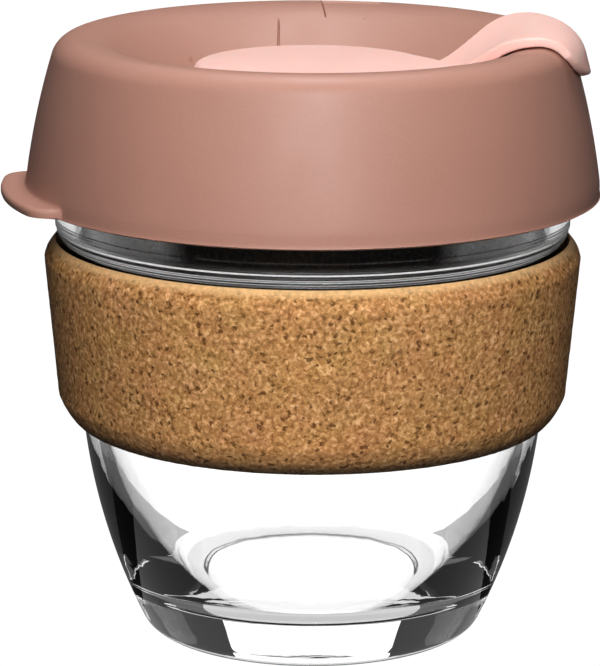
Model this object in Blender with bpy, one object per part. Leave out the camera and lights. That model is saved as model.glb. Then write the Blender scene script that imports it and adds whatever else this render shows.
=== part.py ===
"""Reusable glass coffee cup with a cork grip band, a press-on lid and a soft swivel plug.

Units are metres and +Z is up.  The cup stands on z = 0 with its axis on Z.  The plug's arm
points along +X and closes the sip hole; the lid's thumb tab is on the opposite side.
Round parts are outlines in the (radius, height) plane, spun about Z.
"""
import math

import bmesh
import bpy
from mathutils import Vector

MM = 0.001
GAP = 0.3 * MM              # between pieces that touch in the real cup
ROUND_STEPS = 60            # facets around the big round parts
HUB_STEPS = 40              # facets around the plug's hub

# Glass tumbler
GLASS_HEIGHT = 78.0 * MM
GLASS_SLOPE = 0.1297        # radius gained for each unit of height on the straight wall
BELLY_TOP_Z = 31.1 * MM     # the straight wall ends here and the belly curve begins
BELLY_TOP_R = 35.06 * MM
BELLY_RADIUS = 93.3 * MM
FOOT_RADIUS = 4.0 * MM
WALL = 3.0 * MM
INNER_BELLY_TOP_Z = 33.0 * MM
INNER_BELLY_RADIUS = 45.0 * MM
INNER_FOOT_RADIUS = 7.0 * MM
FLOOR_Z = 7.5 * MM

# Cork band
BAND_BOTTOM_Z = 33.4 * MM
BAND_TOP_Z = 61.8 * MM
BAND_SHOULDER = (41.1 * MM, 60.2 * MM)
BAND_FOOT = (39.15 * MM, 37.6 * MM)
BAND_FOOT_ROUND = 3.1 * MM

# Lid
LID_BOTTOM_Z = 68.45 * MM
LID_EDGE_R = 43.95 * MM
LID_WALL = 1.35 * MM
CREST_R = 36.04 * MM
CREST_Z = 92.6 * MM
SHOULDER_RADIUS = 3.75 * MM
SHOULDER_TILT = math.radians(17.0)
CREST_INNER_RADIUS = 11.0 * MM
DISH_TILT = math.radians(33.0)
DISH_FILLET = 4.0 * MM
DISH_FLOOR_Z = 85.1 * MM
DISH_THICKNESS = 1.5 * MM
SEAL_RING_R = 37.3 * MM
SEAL_RING_WALL = 1.3 * MM
SEAL_RING_BOTTOM_Z = 74.8 * MM
HUB_HOLE_R = 3.95 * MM
SIP_HOLE_LENGTH = 12.0 * MM
SIP_HOLE_WIDTH = 3.8 * MM
SIP_HOLE_R = 29.0 * MM

# Lid's thumb tab, parking recess and vent groove
TAB_ANGLE = math.radians(-168.5)
TAB_HALF_WIDTH = 15.5 * MM
TAB_TIP_R = 47.6 * MM
TAB_CORNER = 6.0 * MM
TAB_ROOT_R = 43.3 * MM
TAB_Z = (68.95 * MM, 70.45 * MM)
PARK_ANGLE = math.radians(80.0)
PARK_TOP_WIDTH = 11.1 * MM
PARK_BOTTOM_WIDTH = 6.6 * MM
PARK_R = (30.0 * MM, 36.0 * MM)
PARK_DEPTH = 1.0 * MM
GROOVE_X = -5.4 * MM
GROOVE_WIDTH = 0.6 * MM
GROOVE_DEPTH = 0.6 * MM

# Plug
HUB_R = 18.2 * MM
HUB_EDGE_Z = 87.0 * MM
HUB_CROWN_Z = 88.3 * MM
HUB_STEM_R = 3.6 * MM
HUB_FLANGE_R = 6.0 * MM
HUB_FLANGE_THICKNESS = 1.4 * MM
ARM_HINGE_X = 20.0 * MM
ARM_ROOT_THICKNESS = 1.4 * MM
ARM_THICKNESS = 1.75 * MM
ARM_TIP_THICKNESS = 1.25 * MM
ARM_ROOT_HALF_WIDTH = 7.6 * MM
ARM_CREST_HALF_WIDTH = 13.6 * MM
ARM_TIP_Z = 86.9 * MM
ARM_TIP_ROUNDING = 4.2 * MM


# ---------------------------------------------------------------- outlines

def arc(centre, radius, start, end, steps):
    """Points on an arc in the (radius, height) plane; angles in radians, both ends included."""
    points = []
    for i in range(steps + 1):
        angle = start + (end - start) * i / steps
        points.append((centre[0] + radius * math.cos(angle), centre[1] + radius * math.sin(angle)))
    return points


def belly_and_foot(top, belly_radius, foot_radius, floor_z, belly_steps, foot_steps):
    """The curve from the straight wall down to the flat floor: two arcs, tangent all the way."""
    tilt = math.atan(GLASS_SLOPE)
    belly = (top[0] - belly_radius * math.cos(tilt), top[1] + belly_radius * math.sin(tilt))
    meet = math.asin((belly[1] - floor_z - foot_radius) / (belly_radius - foot_radius))
    foot = (belly[0] + (belly_radius - foot_radius) * math.cos(meet), floor_z + foot_radius)
    curve = arc(belly, belly_radius, -tilt, -meet, belly_steps)
    curve += arc(foot, foot_radius, -meet, -math.pi / 2, foot_steps)[1:]
    return curve


def glass_radius(z):
    """Outer radius of the glass on its straight wall."""
    return BELLY_TOP_R + GLASS_SLOPE * (z - BELLY_TOP_Z)


def glass_outline():
    lip = WALL / 2
    lip_z = GLASS_HEIGHT - lip
    inner_top = (glass_radius(INNER_BELLY_TOP_Z) - WALL, INNER_BELLY_TOP_Z)
    outer = belly_and_foot((BELLY_TOP_R, BELLY_TOP_Z), BELLY_RADIUS, FOOT_RADIUS, 0.0, 6, 5)
    inner = belly_and_foot(inner_top, INNER_BELLY_RADIUS, INNER_FOOT_RADIUS, FLOOR_Z, 5, 5)
    outline = [(0.0, 0.0)] + outer[::-1]
    outline += arc((glass_radius(lip_z) - lip, lip_z), lip, 0.0, math.pi, 6)
    outline += inner + [(0.0, FLOOR_Z)]
    return outline


def band_outline():
    inner_top = (glass_radius(BAND_TOP_Z) + GAP, BAND_TOP_Z)
    inner_bottom = (glass_radius(BAND_BOTTOM_Z) + GAP, BAND_BOTTOM_Z)
    foot_centre = (BAND_FOOT[0] - BAND_FOOT_ROUND, BAND_FOOT[1])
    foot_height = BAND_FOOT[1] - BAND_BOTTOM_Z
    foot = []
    for radius, height in arc((0.0, 0.0), 1.0, 0.0, -math.pi / 2, 6):
        foot.append((foot_centre[0] + BAND_FOOT_ROUND * radius, foot_centre[1] + foot_height * height))
    chamfer_start = (inner_top[0] + 0.5 * MM, BAND_TOP_Z - 0.1 * MM)
    return [inner_top, inner_bottom] + foot[::-1] + [BAND_SHOULDER, chamfer_start]


def skirt_arc(offset, end_z, steps):
    """The lid's skirt from its shoulder down to end_z, moved inwards by offset."""
    start = (CREST_R + SHOULDER_RADIUS * math.cos(SHOULDER_TILT),
             CREST_Z - SHOULDER_RADIUS * (1 - math.sin(SHOULDER_TILT)))
    end = (LID_EDGE_R, LID_BOTTOM_Z + 0.6 * MM)
    chord = math.hypot(end[0] - start[0], end[1] - start[1])
    chord_tilt = math.atan2(end[0] - start[0], start[1] - end[1])
    radius = chord / (2 * math.sin(SHOULDER_TILT - chord_tilt))
    centre = (start[0] - radius * math.cos(SHOULDER_TILT), start[1] - radius * math.sin(SHOULDER_TILT))
    end_angle = math.asin((end_z - centre[1]) / (radius - offset))
    return arc(centre, radius - offset, SHOULDER_TILT, end_angle, steps)


def dish_curve(offset, slope_steps, fillet_steps):
    """The dish from the crest in to its flat floor, moved into the lid by offset."""
    crest = arc((CREST_R, CREST_Z - CREST_INNER_RADIUS), CREST_INNER_RADIUS - offset,
                math.pi / 2, math.pi / 2 + DISH_TILT, slope_steps)
    slope_top = (CREST_R - CREST_INNER_RADIUS * math.sin(DISH_TILT),
                 CREST_Z - CREST_INNER_RADIUS * (1 - math.cos(DISH_TILT)))
    floor_meets = slope_top[0] - (slope_top[1] - DISH_FLOOR_Z) / math.tan(DISH_TILT)
    centre = (floor_meets - DISH_FILLET * math.tan(DISH_TILT / 2), DISH_FLOOR_Z + DISH_FILLET)
    fillet = arc(centre, DISH_FILLET + offset, -math.pi / 2 + DISH_TILT, -math.pi / 2, fillet_steps)
    return crest + fillet


def lid_outline():
    shoulder = arc((CREST_R, CREST_Z - SHOULDER_RADIUS), SHOULDER_RADIUS,
                   SHOULDER_TILT, math.pi / 2, 5)
    skirt = skirt_arc(0.0, LID_BOTTOM_Z + 0.6 * MM, 6)
    inner_skirt = skirt_arc(LID_WALL, LID_BOTTOM_Z, 6)
    ring_inner_r = SEAL_RING_R - SEAL_RING_WALL
    under_dish = dish_curve(DISH_THICKNESS, 3, 3)
    under_floor_z = DISH_FLOOR_Z - DISH_THICKNESS
    outline = dish_curve(0.0, 5, 3)[::-1] + shoulder[::-1][1:]
    outline += skirt[1:] + [(LID_EDGE_R - 0.5 * MM, LID_BOTTOM_Z)]
    outline += inner_skirt[::-1]
    outline += [(SEAL_RING_R, CREST_Z - 3.0 * MM), (SEAL_RING_R, SEAL_RING_BOTTOM_Z + 0.5 * MM)]
    outline += [(SEAL_RING_R - 0.4 * MM, SEAL_RING_BOTTOM_Z), (ring_inner_r, SEAL_RING_BOTTOM_Z)]
    outline += [(ring_inner_r, CREST_Z - DISH_THICKNESS)] + under_dish[1:]
    outline += [(HUB_HOLE_R, under_floor_z), (HUB_HOLE_R, DISH_FLOOR_Z)]
    return outline


def hub_outline():
    under_z = DISH_FLOOR_Z + GAP
    flange_top = DISH_FLOOR_Z - DISH_THICKNESS - GAP
    flange_bottom = flange_top - HUB_FLANGE_THICKNESS
    edge_round = 0.6 * MM
    edge = arc((HUB_R - edge_round, HUB_EDGE_Z - edge_round), edge_round, 0.0, math.radians(80), 3)
    crown = []
    for i in range(1, 5):
        share = 1 - i / 4
        crown.append(((HUB_R - edge_round) * share,
                      HUB_CROWN_Z - (HUB_CROWN_Z - HUB_EDGE_Z) * share ** 2))
    outline = [(0.0, flange_bottom), (HUB_FLANGE_R - 0.8 * MM, flange_bottom)]
    outline += [(HUB_FLANGE_R, flange_top - 0.5 * MM), (HUB_FLANGE_R, flange_top)]
    outline += [(HUB_STEM_R, flange_top), (HUB_STEM_R, under_z), (HUB_R, under_z)]
    return outline + edge + crown


# ---------------------------------------------------------------- meshes

def material(name, colour, roughness, alpha=1.0, transmission=0.0):
    mat = bpy.data.materials.new(name)
    mat.use_nodes = True
    shader = mat.node_tree.nodes["Principled BSDF"]
    shader.inputs["Base Color"].default_value = (*colour, 1.0)
    shader.inputs["Roughness"].default_value = roughness
    shader.inputs["Metallic"].default_value = 0.0
    shader.inputs["Alpha"].default_value = alpha
    shader.inputs["Transmission Weight"].default_value = transmission
    return mat


def finish(name, mesh_source, mat):
    """Turn a bmesh into a named object with outward normals."""
    bmesh.ops.remove_doubles(mesh_source, verts=mesh_source.verts, dist=0.00002)
    bmesh.ops.recalc_face_normals(mesh_source, faces=mesh_source.faces)
    mesh = bpy.data.meshes.new(name)
    mesh_source.to_mesh(mesh)
    mesh_source.free()
    for polygon in mesh.polygons:
        polygon.use_smooth = True
    obj = bpy.data.objects.new(name, mesh)
    bpy.context.scene.collection.objects.link(obj)
    if mat is not None:
        mesh.materials.append(mat)
    return obj


def revolve(name, outline, steps, mat):
    """Spin a closed outline about Z.  Points on the axis close the solid there."""
    build = bmesh.new()
    verts = [build.verts.new((radius, 0.0, height)) for radius, height in outline]
    edges = [build.edges.new((a, b)) for a, b in zip(verts, verts[1:])]
    if outline[0][0] > 0.0:
        edges.append(build.edges.new((verts[-1], verts[0])))
    bmesh.ops.spin(build, geom=verts + edges, cent=(0, 0, 0), axis=(0, 0, 1),
                   angle=2 * math.pi, steps=steps, use_merge=True, use_duplicate=False)
    return finish(name, build, mat)


def prism(name, outline, bottom, top):
    """Extrude a flat outline of (x, y) points between two heights."""
    build = bmesh.new()
    face = build.faces.new([build.verts.new((x, y, bottom)) for x, y in outline])
    sides = bmesh.ops.extrude_face_region(build, geom=[face])
    raised = [item for item in sides["geom"] if isinstance(item, bmesh.types.BMVert)]
    bmesh.ops.translate(build, verts=raised, vec=(0, 0, top - bottom))
    return finish(name, build, None)


def boolean(target, cutter, operation):
    """Add an exact Boolean that keeps its cutter out of renders."""
    modifier = target.modifiers.new(cutter.name, "BOOLEAN")
    modifier.operation = operation
    modifier.solver = "EXACT"
    modifier.object = cutter
    cutter.hide_render = True
    cutter.display_type = "WIRE"


def apply_and_drop(obj, cutters):
    """Bake the modifiers into the mesh and remove the helper solids."""
    graph = bpy.context.evaluated_depsgraph_get()
    baked = bpy.data.meshes.new_from_object(obj.evaluated_get(graph))
    obj.modifiers.clear()
    old = obj.data
    obj.data = baked
    bpy.data.meshes.remove(old)
    for cutter in cutters:
        bpy.data.objects.remove(cutter, do_unlink=True)


# ---------------------------------------------------------------- lid features

def tab_solid():
    """Rounded thumb tab that grows out of the skirt's lower edge."""
    centre_t = TAB_HALF_WIDTH - TAB_CORNER
    centre_d = math.sqrt((TAB_TIP_R - TAB_CORNER) ** 2 - centre_t ** 2)
    lean = math.atan2(centre_t, centre_d)
    root = math.asin(TAB_HALF_WIDTH / TAB_ROOT_R)
    half = arc((0.0, 0.0), TAB_TIP_R, 0.0, lean, 3)
    half += arc((centre_d, centre_t), TAB_CORNER, lean, math.pi / 2, 5)[1:]
    half += arc((0.0, 0.0), TAB_ROOT_R, root, 0.0, 5)
    mirrored = [(d, -t) for d, t in half[1:-1]][::-1]
    tab = prism("tab_solid", half + mirrored, *TAB_Z)
    tab.rotation_euler[2] = TAB_ANGLE
    return tab


def dish_height(radius):
    """Height of the dish surface at a radius between its floor and the crest."""
    points = sorted(dish_curve(0.0, 24, 12))
    for (r0, z0), (r1, z1) in zip(points, points[1:]):
        if r0 <= radius <= r1:
            return z0 + (z1 - z0) * (radius - r0) / (r1 - r0)
    return DISH_FLOOR_Z if radius < points[0][0] else CREST_Z


def park_cutter():
    """Shallow trapezoid pocket in the dish wall where the arm rests when the cup is open."""
    build = bmesh.new()
    rows = []
    for i in range(5):
        share = i / 4
        radius = PARK_R[0] + (PARK_R[1] - PARK_R[0]) * share
        half = (PARK_BOTTOM_WIDTH + (PARK_TOP_WIDTH - PARK_BOTTOM_WIDTH) * share) / 2
        floor_z = dish_height(radius) - PARK_DEPTH * (1 - 0.75 * share)
        top_z = CREST_Z + 2.0 * MM
        rows.append([build.verts.new((radius, t, z))
                     for t, z in ((-half, floor_z), (half, floor_z), (half, top_z), (-half, top_z))])
    build.faces.new(rows[0])
    build.faces.new(rows[-1][::-1])
    for near, far in zip(rows, rows[1:]):
        for i in range(4):
            j = (i + 1) % 4
            build.faces.new((near[i], far[i], far[j], near[j]))
    cutter = finish("park_cutter", build, None)
    cutter.rotation_euler[2] = PARK_ANGLE
    return cutter


def sip_cutter():
    """Rounded slot through the dish wall, under the plug's arm."""
    end = SIP_HOLE_WIDTH / 2
    reach = SIP_HOLE_LENGTH / 2 - end
    outline = [(SIP_HOLE_R + x, reach + y) for x, y in arc((0, 0), end, 0.0, math.pi, 6)]
    outline += [(SIP_HOLE_R + x, y - reach) for x, y in arc((0, 0), end, math.pi, 2 * math.pi, 6)]
    return prism("sip_cutter", outline, DISH_FLOOR_Z, CREST_Z)


def groove_cutter():
    """Thin vent groove that runs up the dish wall behind the hub."""
    build = bmesh.new()
    half = GROOVE_WIDTH / 2
    rows = []
    for i in range(7):
        y = (21.6 + 7.4 * i / 6) * MM
        floor_z = dish_height(math.hypot(GROOVE_X, y)) - GROOVE_DEPTH * (1 - 0.5 * i / 6)
        rows.append([build.verts.new((GROOVE_X + x, y, z))
                     for x, z in ((-half, floor_z), (half, floor_z), (half, CREST_Z), (-half, CREST_Z))])
    build.faces.new(rows[0])
    build.faces.new(rows[-1][::-1])
    for near, far in zip(rows, rows[1:]):
        for i in range(4):
            j = (i + 1) % 4
            build.faces.new((near[i], far[i], far[j], near[j]))
    return finish("groove_cutter", build, None)


def make_lid(mat):
    lid = revolve("lid", lid_outline(), ROUND_STEPS, mat)
    tab = tab_solid()
    cutters = [park_cutter(), sip_cutter(), groove_cutter()]
    boolean(lid, tab, "UNION")
    for cutter in cutters:
        boolean(lid, cutter, "DIFFERENCE")
    apply_and_drop(lid, [tab] + cutters)
    return lid


# ---------------------------------------------------------------- plug

def arm_path():
    """Outline of the lid's top surface from the dish floor, over the crest, down the skirt."""
    path = [(16.0 * MM, DISH_FLOOR_Z)] + dish_curve(0.0, 10, 5)[::-1]
    path += arc((CREST_R, CREST_Z - SHOULDER_RADIUS), SHOULDER_RADIUS, math.pi / 2, SHOULDER_TILT, 7)[1:]
    path += skirt_arc(0.0, ARM_TIP_Z, 4)[1:]
    return path


class Ribbon:
    """A curve in the (radius, height) plane that can be read at any length along it."""

    def __init__(self, points):
        self.points = points
        self.lengths = [0.0]
        for (r0, z0), (r1, z1) in zip(points, points[1:]):
            self.lengths.append(self.lengths[-1] + math.hypot(r1 - r0, z1 - z0))

    def total(self):
        return self.lengths[-1]

    def at_radius(self, radius):
        """Length along the curve where it first reaches a radius."""
        for i in range(len(self.points) - 1):
            r0, r1 = self.points[i][0], self.points[i + 1][0]
            if r0 <= radius <= r1:
                share = (radius - r0) / (r1 - r0)
                return self.lengths[i] + share * (self.lengths[i + 1] - self.lengths[i])
        return self.total()

    def normal(self, i):
        before = self.points[max(i - 1, 0)]
        after = self.points[min(i + 1, len(self.points) - 1)]
        run = Vector((after[0] - before[0], after[1] - before[1])).normalized()
        return Vector((-run.y, run.x))

    def read(self, length, lift):
        """Point at a length along the curve, moved off it by lift."""
        i = 0
        while i < len(self.lengths) - 2 and self.lengths[i + 1] < length:
            i += 1
        share = (length - self.lengths[i]) / (self.lengths[i + 1] - self.lengths[i])
        share = min(max(share, 0.0), 1.0)
        point = Vector(self.points[i]).lerp(Vector(self.points[i + 1]), share)
        normal = self.normal(i).lerp(self.normal(i + 1), share).normalized()
        return point + normal * lift


def smooth(share):
    share = min(max(share, 0.0), 1.0)
    return share * share * (3 - 2 * share)


def arm_half_width(radius):
    """The arm flares from the hub out to the crest."""
    share = smooth((radius - ARM_HINGE_X) / (CREST_R - ARM_HINGE_X))
    return ARM_ROOT_HALF_WIDTH + (ARM_CREST_HALF_WIDTH - ARM_ROOT_HALF_WIDTH) * share


def arm_thickness(share):
    if share < 0.3:
        return ARM_ROOT_THICKNESS + (ARM_THICKNESS - ARM_ROOT_THICKNESS) * smooth(share / 0.3)
    return ARM_THICKNESS + (ARM_TIP_THICKNESS - ARM_THICKNESS) * smooth((share - 0.5) / 0.5)


def ribbon_sheet(name, ribbon, starts, ends, rows, columns, thickness, mat):
    """A curved slab that follows the ribbon, from starts(v) to ends(v) with v from -1 to 1."""
    build = bmesh.new()
    layers = []
    for side in (0, 1):
        grid = []
        for i in range(rows + 1):
            line = []
            for j in range(columns + 1):
                v = -1 + 2 * j / columns
                share = i / rows
                length = starts(v) + (ends(v) - starts(v)) * share
                point = ribbon.read(length, GAP + side * thickness(share))
                across = v * arm_half_width(ribbon.read(length, 0.0).x)
                x = math.sqrt(point.x ** 2 - across ** 2)
                if i == 0:
                    x = ARM_HINGE_X + GAP / 2
                line.append(build.verts.new((x, across, point.y)))
            grid.append(line)
        layers.append(grid)
    low, high = layers
    for i in range(rows):
        for j in range(columns):
            build.faces.new((low[i][j], low[i][j + 1], low[i + 1][j + 1], low[i + 1][j]))
            build.faces.new((high[i][j], high[i + 1][j], high[i + 1][j + 1], high[i][j + 1]))
        for j in (0, columns):
            build.faces.new((low[i][j], low[i + 1][j], high[i + 1][j], high[i][j]))
    for j in range(columns):
        for i in (0, rows):
            build.faces.new((low[i][j], low[i][j + 1], high[i][j + 1], high[i][j]))
    return finish(name, build, mat)


def make_arm(mat):
    ribbon = Ribbon(arm_path())

    def root(v):
        across = v * ARM_ROOT_HALF_WIDTH
        return ribbon.at_radius(math.hypot(ARM_HINGE_X + GAP / 2, across))

    def tip(v):
        return ribbon.total() - ARM_TIP_ROUNDING * abs(v) ** 3

    arm = ribbon_sheet("plug_arm", ribbon, root, tip, 22, 12, arm_thickness, mat)
    hinge = Vector((ARM_HINGE_X, 0.0, DISH_FLOOR_Z + GAP + ARM_ROOT_THICKNESS))
    for vertex in arm.data.vertices:
        vertex.co -= hinge
    arm.location = hinge
    return arm


def make_hub(mat):
    hub = revolve("plug_hub", hub_outline(), HUB_STEPS, mat)
    reach = ARM_HINGE_X - GAP / 2
    half = ARM_ROOT_HALF_WIDTH
    neck = [(12.0 * MM, -half), (reach, -half), (reach, half), (12.0 * MM, half)]
    neck_solid = prism("neck_solid", neck, DISH_FLOOR_Z + GAP, DISH_FLOOR_Z + GAP + ARM_ROOT_THICKNESS)
    boolean(hub, neck_solid, "UNION")
    apply_and_drop(hub, [neck_solid])
    return hub


def main():
    for obj in list(bpy.data.objects):
        bpy.data.objects.remove(obj, do_unlink=True)
    glass = material("clear_glass", (0.95, 0.97, 0.97), 0.02, alpha=0.35, transmission=1.0)
    cork = material("cork", (0.49, 0.26, 0.09), 0.85)
    lid_plastic = material("lid_plastic", (0.44, 0.22, 0.16), 0.5)
    plug_rubber = material("plug_rubber", (0.93, 0.57, 0.47), 0.6)
    revolve("glass_cup", glass_outline(), ROUND_STEPS, glass)
    revolve("cork_band", band_outline(), ROUND_STEPS, cork)
    make_lid(lid_plastic)
    make_hub(plug_rubber)
    make_arm(plug_rubber)


main()
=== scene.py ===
"""Looks for a reusable glass coffee cup: glass, cork band, press-on lid and soft swivel plug.

Everything is in metres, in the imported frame: the cup stands on z = 0 with its axis on Z, and
the plug's arm points along +X.
"""
import math

import bmesh
import bpy
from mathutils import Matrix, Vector, noise


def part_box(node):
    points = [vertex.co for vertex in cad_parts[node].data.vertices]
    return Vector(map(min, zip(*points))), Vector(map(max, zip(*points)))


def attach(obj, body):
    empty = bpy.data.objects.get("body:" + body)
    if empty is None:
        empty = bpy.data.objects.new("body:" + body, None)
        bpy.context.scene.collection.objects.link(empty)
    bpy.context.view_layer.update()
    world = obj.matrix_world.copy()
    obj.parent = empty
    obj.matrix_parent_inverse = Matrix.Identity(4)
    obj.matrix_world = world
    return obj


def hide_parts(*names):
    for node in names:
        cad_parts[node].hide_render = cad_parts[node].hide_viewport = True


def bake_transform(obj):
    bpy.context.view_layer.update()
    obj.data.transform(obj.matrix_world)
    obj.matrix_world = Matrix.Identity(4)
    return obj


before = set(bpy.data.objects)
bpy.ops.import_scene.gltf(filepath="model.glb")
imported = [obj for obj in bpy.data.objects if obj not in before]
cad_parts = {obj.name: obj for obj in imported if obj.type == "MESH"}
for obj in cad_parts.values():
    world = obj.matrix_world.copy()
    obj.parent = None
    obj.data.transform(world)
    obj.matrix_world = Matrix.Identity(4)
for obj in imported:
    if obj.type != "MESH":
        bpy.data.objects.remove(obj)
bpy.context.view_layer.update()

MM = 0.001
GAP = 0.3 * MM

GLASS_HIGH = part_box("glass_cup")[1]
BAND_LOW, BAND_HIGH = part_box("cork_band")
LID_LOW, LID_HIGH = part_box("lid")
HUB_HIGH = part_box("plug_hub")[1]

# Glass
GLASS_TOP = GLASS_HIGH[2]
GLASS_SLOPE = 0.1297
WALL = 3.0 * MM
BELLY_TOP = (35.06 * MM, 31.1 * MM)
BELLY_RADIUS = 93.3 * MM
FOOT_RADIUS = 4.0 * MM
INNER_BELLY_TOP_Z = 33.0 * MM
INNER_BELLY_RADIUS = 52.0 * MM
INNER_FOOT_RADIUS = 5.5 * MM
FLOOR_Z = 7.5 * MM
PUNT_RADIUS = 18.7 * MM
PUNT_STEP = 1.6 * MM
PUNT_DEPTH = 0.5 * MM
WAIST_TOP = 64.4 * MM
WAIST_ROUND = 2.6 * MM
WAIST_LOW = 58.4 * MM
WAIST_DEPTH = 1.0 * MM
WAIST_FADE = 2.0 * MM
RIBS = (61.9 * MM, 64.7 * MM)
RIB_PITCH = 0.97 * MM
RIB_HEIGHT = 0.065 * MM
RIB_STEP = 0.08 * MM
WALL_STEP = 0.7 * MM
RING_Z = 63.1 * MM
RING_REACH = 2.0 * MM
# Height below which the glass is tinted grey as painted contact shadow.
CONTACT_SHADE_Z = 0.12 * MM

# Cork band
BAND_BOTTOM = BAND_LOW[2]
BAND_TOP = BAND_HIGH[2]
BAND_SHOULDER = (41.1 * MM, 58.7 * MM)
BAND_FOOT = (39.15 * MM, 37.6 * MM)
BAND_FOOT_ROUND = 3.3 * MM
# The band's top outer edge in millimetres: (in from the wall, down from the top).
BAND_TOP_EDGE = ((0.03, 2.85), (0.12, 2.42), (0.28, 2.0), (0.5, 1.58),
                 (0.78, 1.16), (1.08, 0.78), (1.38, 0.4), (1.63, 0.06))

# Lid
LID_BOTTOM = LID_LOW[2]
CREST_Z = LID_HIGH[2]
CREST_R = 36.04 * MM
LID_EDGE_R = 43.95 * MM
LID_WALL = 1.35 * MM
SHOULDER_RADIUS = 3.75 * MM
SHOULDER_TILT = math.radians(17.0)
CREST_INNER_RADIUS = 11.0 * MM
DISH_TILT = math.radians(33.0)
DISH_FILLET = 4.0 * MM
DISH_FLOOR_Z = 85.1 * MM
DISH_THICKNESS = 1.5 * MM
DISH_FLAT_R = 18.0 * MM
SEAL_RING_R = 37.3 * MM
SEAL_RING_WALL = 1.3 * MM
SEAL_RING_BOTTOM_Z = 74.8 * MM
HUB_HOLE_R = 3.95 * MM
SIP_HOLE_LENGTH = 12.0 * MM
SIP_HOLE_WIDTH = 3.8 * MM
SIP_HOLE_R = 29.0 * MM

TAB_ANGLE = math.radians(-168.5)
TAB_HALF_WIDTH = 15.5 * MM
TAB_TIP_R = 47.6 * MM
TAB_CORNER = 3.8 * MM
TAB_BOTTOM = 68.72 * MM
TAB_TOP = 70.25 * MM

PARK_ANGLE = math.radians(80.0)
PARK_TOP_WIDTH = 11.1 * MM
PARK_BOTTOM_WIDTH = 6.6 * MM
PARK_R = (30.0 * MM, 37.4 * MM)
PARK_DEPTH = 0.9 * MM
PARK_LINE_DEPTH = 0.65 * MM
PARK_LINE_WIDTH = 0.2 * MM
GROOVES = ((-5.4 * MM, 21.0 * MM, 29.0 * MM), (-18.9 * MM, 12.8 * MM, 14.4 * MM))
GROOVE_DEPTH = 0.55 * MM
GROOVE_HALF_WIDTH = 0.19 * MM
# Where the grooves are round the lid, and how far to each side, in degrees.
GROOVE_SPANS = ((102.6, 2.8), (144.3, 3.4))

# Plug
HUB_R = 18.2 * MM
HUB_EDGE_Z = 88.4 * MM
HUB_CROWN_Z = HUB_HIGH[2] + 0.6 * MM
HUB_STEM_R = 3.6 * MM
HUB_FLANGE_R = 6.0 * MM
HUB_FLANGE_THICKNESS = 1.4 * MM
HUB_EDGE_ROUND = 1.1 * MM
ARM_ROOT_R = 15.0 * MM
ARM_TIP_Z = 86.9 * MM
ARM_ROOT_THICKNESS = 3.0 * MM
ARM_THICKNESS = 1.75 * MM
ARM_TIP_THICKNESS = 1.25 * MM
ARM_WAIST_R = 21.0 * MM
ARM_WAIST_HALF_WIDTH = 7.9 * MM
ARM_CREST_HALF_WIDTH = 13.1 * MM
ARM_TIP_ROUNDING = 4.2 * MM
PLUG_VOXEL = 0.26 * MM

# Studio
SCREEN_HALF_ANGLE = 19.5
SCREEN_WHITE = 1.3
STUDIO_R = 1.5
STUDIO_TOP = 1.8
TABLE_Z = -0.0004
NEAR_R = 0.14
BASE_R = 0.029
UNDER_R = 0.026
UNDER_Y = -0.017


# ---------------------------------------------------------------- outlines

def arc(centre, radius, start, end, steps):
    """Points on an arc in the (radius, height) plane, both ends included."""
    points = []
    for i in range(steps + 1):
        angle = start + (end - start) * i / steps
        points.append((centre[0] + radius * math.cos(angle), centre[1] + radius * math.sin(angle)))
    return points


def line(start, end, steps):
    """Points along a straight stretch, without its first point."""
    return [(start[0] + (end[0] - start[0]) * i / steps,
             start[1] + (end[1] - start[1]) * i / steps) for i in range(1, steps + 1)]


def smooth(share):
    share = min(max(share, 0.0), 1.0)
    return share * share * (3 - 2 * share)


def belly_and_foot(top, belly_radius, foot_radius, floor_z):
    tilt = math.atan(GLASS_SLOPE)
    belly = (top[0] - belly_radius * math.cos(tilt), top[1] + belly_radius * math.sin(tilt))
    meet = math.asin((belly[1] - floor_z - foot_radius) / (belly_radius - foot_radius))
    foot = (belly[0] + (belly_radius - foot_radius) * math.cos(meet), floor_z + foot_radius)
    curve = arc(belly, belly_radius, -tilt, -meet, 24)
    return curve + arc(foot, foot_radius, -meet, -math.pi / 2, 16)[1:]


def glass_radius(z):
    return BELLY_TOP[0] + GLASS_SLOPE * (z - BELLY_TOP[1])


def waist_depth(z):
    """The cork sits in a shallow waist; its rounded top edge shows above the cork."""
    if z < WAIST_LOW or z > WAIST_TOP:
        return 0.0
    if z > WAIST_TOP - WAIST_ROUND:
        share = (WAIST_TOP - z) / WAIST_ROUND
        return WAIST_DEPTH * (1 - math.sqrt(1 - share ** 2))
    return WAIST_DEPTH * smooth((z - WAIST_LOW) / WAIST_FADE)


def rib_height(z):
    """Fine pressed ribs round the shoulder of the waist."""
    share = (z - RIBS[0]) / (RIBS[1] - RIBS[0])
    if share < 0 or share > 1:
        return 0.0
    fade = smooth(4 * share) * smooth(4 * (1 - share))
    return RIB_HEIGHT * fade * math.sin(2 * math.pi * (z - RIBS[0]) / RIB_PITCH)


def wall_heights(low, high):
    """Heights up the wall, close together at the ribs."""
    heights = []
    z = low
    while z < high - 0.05 * MM:
        heights.append(z)
        fine = WAIST_TOP - WAIST_ROUND - 0.5 * MM < z < RIBS[1] + 0.5 * MM
        z += RIB_STEP if fine else WALL_STEP
    return heights


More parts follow.
